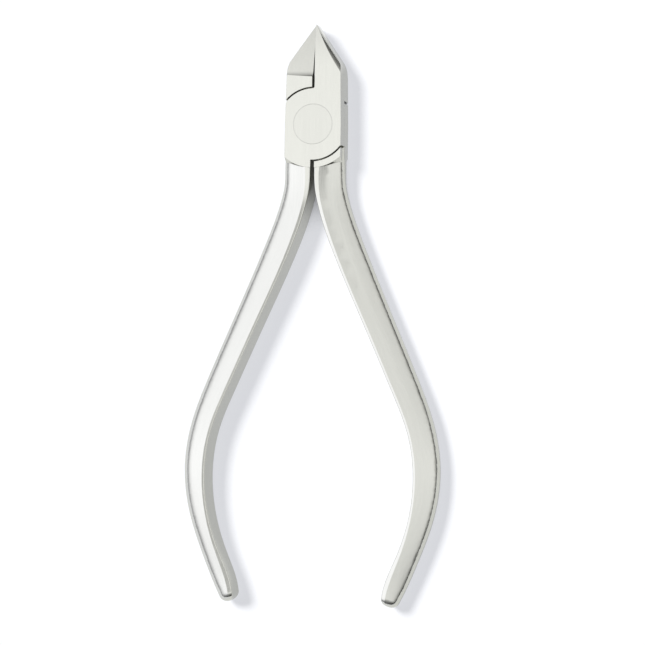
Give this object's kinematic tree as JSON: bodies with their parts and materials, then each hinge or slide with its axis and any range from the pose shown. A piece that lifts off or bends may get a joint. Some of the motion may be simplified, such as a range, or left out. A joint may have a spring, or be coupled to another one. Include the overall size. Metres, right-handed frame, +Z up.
{
  "type": "sprue nippers",
  "caption": "Slim all-steel side cutter with a flush lap joint, pointed ground jaws and bowed D-section handles, for snipping sprues and fine wire.",
  "frame": {"origin": "on the pivot axis, in the flat underside of the lap joint, which lies on the table", "axes": "+Y from the pivot to the jaw tips, +Z up along the pivot axis, +X to the right seen from above with the jaws pointing away"},
  "size_m": [0.0612, 0.1344, 0.007],
  "materials": {
    "steel": "satin-polished stainless steel",
    "rivet": "ground flush with the joint's face"
  },
  "bodies": {
    "lower": {"lower_half": "steel", "pivot_rivet": "rivet"},
    "upper": {"upper_half": "steel"}
  },
  "joints": [
    {"name": "pivot", "type": "hinge", "parent": "lower", "child": "upper", "pos_m": [0, 0, 0], "axis": [0, 0, -1], "range_deg": [0, 76]}
  ]
}
